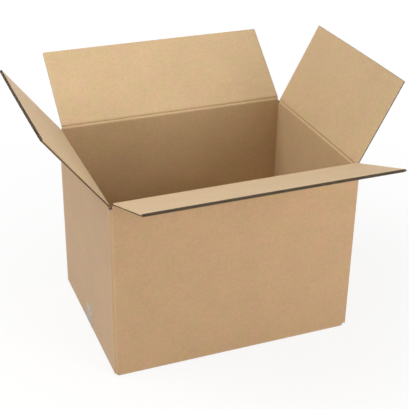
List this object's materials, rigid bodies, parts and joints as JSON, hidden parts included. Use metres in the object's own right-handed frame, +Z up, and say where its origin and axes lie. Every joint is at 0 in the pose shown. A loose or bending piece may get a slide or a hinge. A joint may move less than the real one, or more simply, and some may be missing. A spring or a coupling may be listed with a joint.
{
  "type": "double wall corrugated carton",
  "caption": "Open regular slotted shipping carton of double wall corrugated board, bottom flaps closed and taped, top flaps hinged at their creases.",
  "frame": {"origin": "middle of the base, on the surface that the carton stands on", "axes": "+Z up, +X along the long front panel to its right end, -Y out of the front panel"},
  "size_m": [0.9063, 0.8646, 0.6905],
  "materials": {
    "kraft_board": "matt kraft liner",
    "clear_tape": "clear glossy film"
  },
  "bodies": {
    "carton": {"carton_body": "kraft_board", "bottom_tape": "clear_tape"},
    "front_flap": {"front_flap": "kraft_board"},
    "back_flap": {"back_flap": "kraft_board"},
    "left_flap": {"left_flap": "kraft_board"},
    "right_flap": {"right_flap": "kraft_board"}
  },
  "joints": [
    {"name": "front_flap_crease", "type": "hinge", "parent": "carton", "child": "front_flap", "pos_m": [0, -0.2353, 0.4848], "axis": [1, 0, 0], "range_deg": [-159, 101]},
    {"name": "back_flap_crease", "type": "hinge", "parent": "carton", "child": "back_flap", "pos_m": [0, 0.2353, 0.4848], "axis": [-1, 0, 0], "range_deg": [-141, 119]},
    {"name": "left_flap_crease", "type": "hinge", "parent": "carton", "child": "left_flap", "pos_m": [-0.3243, 0, 0.4777], "axis": [0, -1, 0], "range_deg": [-128, 132]},
    {"name": "right_flap_crease", "type": "hinge", "parent": "carton", "child": "right_flap", "pos_m": [0.3243, 0, 0.4777], "axis": [0, 1, 0], "range_deg": [-118, 142]}
  ]
}
